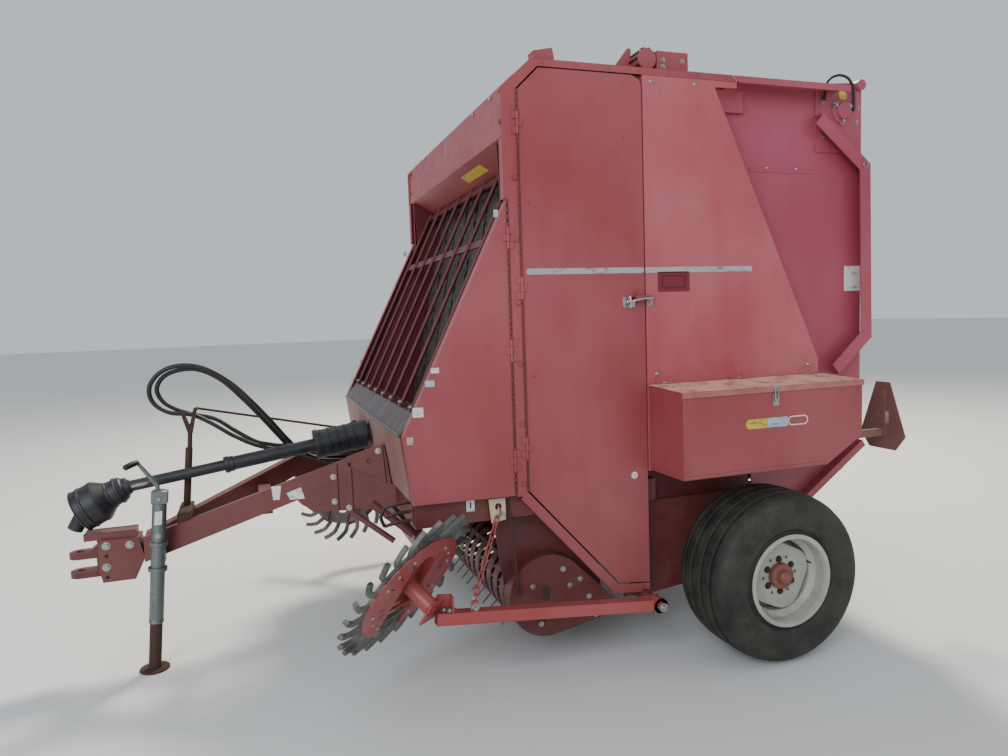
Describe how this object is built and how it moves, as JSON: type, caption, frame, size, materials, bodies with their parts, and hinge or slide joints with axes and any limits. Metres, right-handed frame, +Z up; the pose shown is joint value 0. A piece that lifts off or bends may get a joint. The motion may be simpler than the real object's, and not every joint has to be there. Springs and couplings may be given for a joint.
{
  "type": "round baler",
  "caption": "Trailed round baler with grille front, hinged side shields, twine box, rear tailgate, tined pickup, angled rake wheels, driveline and a parking jack.",
  "frame": {"origin": "middle of the overall length and width, on the ground under the tyres", "axes": "+X to the machine's rear, +Y to its right, +Z up"},
  "size_m": [4.0607, 2.566, 2.776],
  "materials": {
    "faded_red": "sun-faded red paint, satin",
    "lid_red": "bleached red paint, satin",
    "frame_red": "red paint, satin",
    "dark_red": "dark red paint, satin",
    "black_paint": "black paint, worn",
    "galvanised": "dull zinc",
    "rusty_steel": "rusty",
    "roller_steel": "worn steel",
    "cylinder_paint": "black paint",
    "chrome": "polished",
    "reel_steel": "worn steel",
    "belt_rubber": "matt",
    "finger_rubber": "matt, dusty",
    "rim_paint": "off-white paint, dusty",
    "tyre": "matt, dusty",
    "sign_brown": "blank plate, brown primer",
    "hose_rubber": "matt"
  },
  "bodies": {
    "chassis": {"shield_frame_left": "faded_red", "shield_frame_right": "faded_red", "rear_shield_left": "faded_red", "rear_shield_right": "faded_red", "twine_box": "faded_red", "header": "faded_red", "tension_unit": "faded_red", "frame_side_left": "frame_red", "frame_side_right": "frame_red", "drawbar": "frame_red", "axle_beam": "dark_red", "cross_tubes": "dark_red", "hitch_clevis": "dark_red", "side_wall_left": "dark_red", "side_wall_right": "dark_red", "pickup_frame": "dark_red", "grille": "dark_red", "driveline": "black_paint", "gearbox": "black_paint", "apron": "black_paint", "jack_tube": "galvanised", "jack_crank": "galvanised", "hose_stand": "rusty_steel", "front_wall": "rusty_steel", "front_rollers": "roller_steel", "front_belts": "belt_rubber", "hose_a": "hose_rubber", "hose_b": "hose_rubber"},
    "wheel_left": {"rim_left": "rim_paint", "tyre_left": "tyre"},
    "wheel_right": {"rim_right": "rim_paint", "tyre_right": "tyre"},
    "tailgate": {"gate_side_left": "faded_red", "gate_side_right": "faded_red", "gate_cross": "dark_red", "gate_rollers": "roller_steel", "gate_belts": "belt_rubber", "rear_sign": "sign_brown"},
    "cylinder_barrel_left": {"barrel_left": "cylinder_paint"},
    "cylinder_barrel_right": {"barrel_right": "cylinder_paint"},
    "cylinder_rod_left": {"rod_left": "chrome"},
    "cylinder_rod_right": {"rod_right": "chrome"},
    "door_left": {"side_door_left": "faded_red"},
    "door_right": {"side_door_right": "faded_red"},
    "front_door_left": {"front_shield_left": "faded_red"},
    "front_door_right": {"front_shield_right": "faded_red"},
    "twine_box_lid": {"twine_lid": "lid_red"},
    "jack": {"jack_leg": "rusty_steel"},
    "reel": {"pickup_reel": "reel_steel"},
    "rake_arm_left": {"rake_arm_left": "frame_red", "rake_chain_left": "frame_red"},
    "rake_arm_right": {"rake_arm_right": "frame_red", "rake_chain_right": "frame_red"},
    "rake_left": {"rake_wheel_left": "frame_red", "rake_fingers_left": "finger_rubber"},
    "rake_right": {"rake_wheel_right": "frame_red", "rake_fingers_right": "finger_rubber"}
  },
  "joints": [
    {"name": "wheel_spin_left", "type": "hinge", "parent": "chassis", "child": "wheel_left", "pos_m": [1.025, -1.113, 0.385], "axis": [0, 1, 0], "continuous": true},
    {"name": "rake_arm_lift_left", "type": "hinge", "parent": "chassis", "child": "rake_arm_left", "pos_m": [0.485, -1.045, 0.285], "axis": [0, -1, 0], "range_deg": [0, 9]},
    {"name": "rake_spin_left", "type": "hinge", "parent": "rake_arm_left", "child": "rake_left", "pos_m": [-0.611, -0.975, 0.505], "axis": [0.533, -0.6285, -0.5664], "continuous": true},
    {"name": "barrel_swing_left", "type": "hinge", "parent": "chassis", "child": "cylinder_barrel_left", "pos_m": [0.695, -0.868, 1.25], "axis": [0, 1, 0], "range_deg": [0, 6.5]},
    {"name": "rod_slide_left", "type": "slide", "parent": "cylinder_barrel_left", "child": "cylinder_rod_left", "axis": [0.2847, 0, 0.9586], "range_m": [0, 0.29]},
    {"name": "side_door_swing_left", "type": "hinge", "parent": "chassis", "child": "door_left", "pos_m": [-0.076, -0.9455, 1.7], "axis": [0, 0, -1], "range_deg": [0, 90]},
    {"name": "front_shield_swing_left", "type": "hinge", "parent": "chassis", "child": "front_door_left", "pos_m": [-0.132, -0.9455, 1.45], "axis": [0, 0, 1], "range_deg": [0, 90]},
    {"name": "wheel_spin_right", "type": "hinge", "parent": "chassis", "child": "wheel_right", "pos_m": [1.025, 1.113, 0.385], "axis": [0, 1, 0], "continuous": true},
    {"name": "rake_arm_lift_right", "type": "hinge", "parent": "chassis", "child": "rake_arm_right", "pos_m": [0.485, 1.045, 0.285], "axis": [0, -1, 0], "range_deg": [0, 9]},
    {"name": "rake_spin_right", "type": "hinge", "parent": "rake_arm_right", "child": "rake_right", "pos_m": [-0.611, 0.975, 0.505], "axis": [0.533, 0.6285, -0.5664], "continuous": true},
    {"name": "barrel_swing_right", "type": "hinge", "parent": "chassis", "child": "cylinder_barrel_right", "pos_m": [0.695, 0.868, 1.25], "axis": [0, 1, 0], "range_deg": [0, 6.5]},
    {"name": "rod_slide_right", "type": "slide", "parent": "cylinder_barrel_right", "child": "cylinder_rod_right", "axis": [0.2847, 0, 0.9586], "range_m": [0, 0.29]},
    {"name": "side_door_swing_right", "type": "hinge", "parent": "chassis", "child": "door_right", "pos_m": [-0.076, 0.9455, 1.7], "axis": [0, 0, 1], "range_deg": [0, 90]},
    {"name": "front_shield_swing_right", "type": "hinge", "parent": "chassis", "child": "front_door_right", "pos_m": [-0.132, 0.9455, 1.45], "axis": [0, 0, -1], "range_deg": [0, 90]},
    {"name": "tailgate_lift", "type": "hinge", "parent": "chassis", "child": "tailgate", "pos_m": [0.905, 0, 2.56], "axis": [0, -1, 0], "range_deg": [0, 60]},
    {"name": "reel_spin", "type": "hinge", "parent": "chassis", "child": "reel", "pos_m": [0.025, 0, 0.34], "axis": [0, 1, 0], "continuous": true},
    {"name": "twine_lid_swing", "type": "hinge", "parent": "chassis", "child": "twine_box_lid", "pos_m": [1.025, -0.947, 1.2625], "axis": [-1, 0, 0], "range_deg": [0, 85]},
    {"name": "jack_slide", "type": "slide", "parent": "chassis", "child": "jack", "axis": [0.0906, 0, 0.9959], "range_m": [-0.1, 0.19]}
  ],
  "couplings": [
    {"joint": "barrel_swing_left", "follows": "tailgate_lift", "ratio": 0.1008},
    {"joint": "rod_slide_left", "follows": "tailgate_lift", "m_per_rad": 0.27435},
    {"joint": "barrel_swing_right", "follows": "tailgate_lift", "ratio": 0.1008},
    {"joint": "rod_slide_right", "follows": "tailgate_lift", "m_per_rad": 0.27435}
  ]
}
